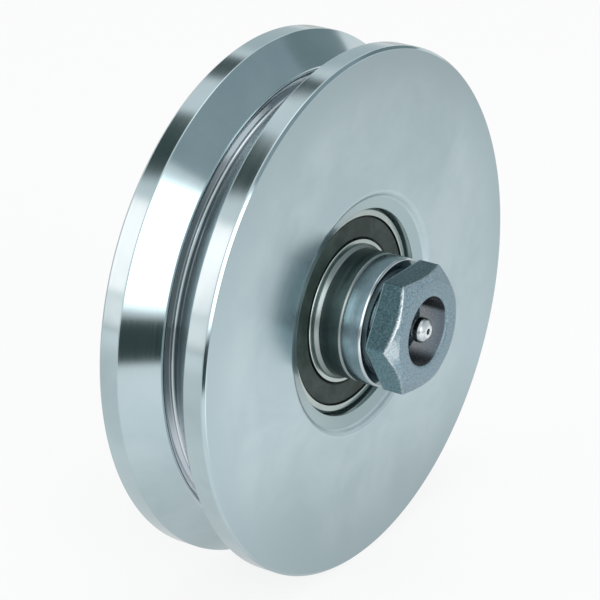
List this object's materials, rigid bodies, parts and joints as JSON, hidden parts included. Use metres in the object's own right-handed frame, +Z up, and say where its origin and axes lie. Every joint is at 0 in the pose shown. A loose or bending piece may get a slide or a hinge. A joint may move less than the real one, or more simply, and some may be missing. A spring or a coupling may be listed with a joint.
{
  "type": "sliding gate wheel",
  "caption": "Steel sliding gate wheel with a V groove and root slot in the rim, sealed ball bearings, flanged bushes and a hex-headed axle with a grease nipple.",
  "frame": {"origin": "centre of the wheel, on the axle's axis in the middle plane of the groove", "axes": "+Y along the axle from the hexagonal head to the threaded end, +Z up, away from the rail"},
  "size_m": [0.14, 0.0902, 0.14],
  "materials": {
    "zinc_wheel": "turned and zinc plated",
    "bearing_steel": "ground and polished",
    "seal_rubber": "moulded nitrile rubber",
    "cage_plastic": "moulded polyamide",
    "axle_steel": "dull zinc plated",
    "bush_steel": "turned, dark zinc plated",
    "washer_steel": "turned, zinc plated",
    "fastener_steel": "zinc plated",
    "nipple_steel": "bright zinc plated",
    "spring_steel": "drawn wire"
  },
  "bodies": {
    "axle_set": {"axle_bolt": "axle_steel", "front_bush": "bush_steel", "rear_bush": "bush_steel", "front_washer": "washer_steel", "rear_washer": "fastener_steel", "lock_washer": "fastener_steel", "axle_nut": "fastener_steel", "front_inner_ring": "bearing_steel", "rear_inner_ring": "bearing_steel", "nipple_body": "nipple_steel", "nipple_spring": "spring_steel"},
    "wheel_set": {"wheel": "zinc_wheel", "front_outer_ring": "bearing_steel", "rear_outer_ring": "bearing_steel", "front_seal": "seal_rubber", "rear_seal": "seal_rubber"},
    "front_cage_set": {"front_cage": "cage_plastic", "front_balls": "bearing_steel"},
    "rear_cage_set": {"rear_cage": "cage_plastic", "rear_balls": "bearing_steel"},
    "nipple_valve": {"nipple_ball": "bearing_steel"}
  },
  "joints": [
    {"name": "wheel_spin", "type": "hinge", "parent": "axle_set", "child": "wheel_set", "pos_m": [0, 0, 0], "axis": [0, 1, 0], "continuous": true},
    {"name": "front_cage_spin", "type": "hinge", "parent": "axle_set", "child": "front_cage_set", "pos_m": [0, 0, 0], "axis": [0, 1, 0], "continuous": true},
    {"name": "rear_cage_spin", "type": "hinge", "parent": "axle_set", "child": "rear_cage_set", "pos_m": [0, 0, 0], "axis": [0, 1, 0], "continuous": true},
    {"name": "valve_slide", "type": "slide", "parent": "axle_set", "child": "nipple_valve", "axis": [0, 1, 0], "range_m": [0, 0.0008], "stiffness_N_per_m": 150, "springref_m": -0.002, "deforming": ["nipple_spring"]}
  ],
  "couplings": [
    {"joint": "front_cage_spin", "follows": "wheel_spin", "ratio": 0.57059},
    {"joint": "rear_cage_spin", "follows": "wheel_spin", "ratio": 0.57059}
  ]
}
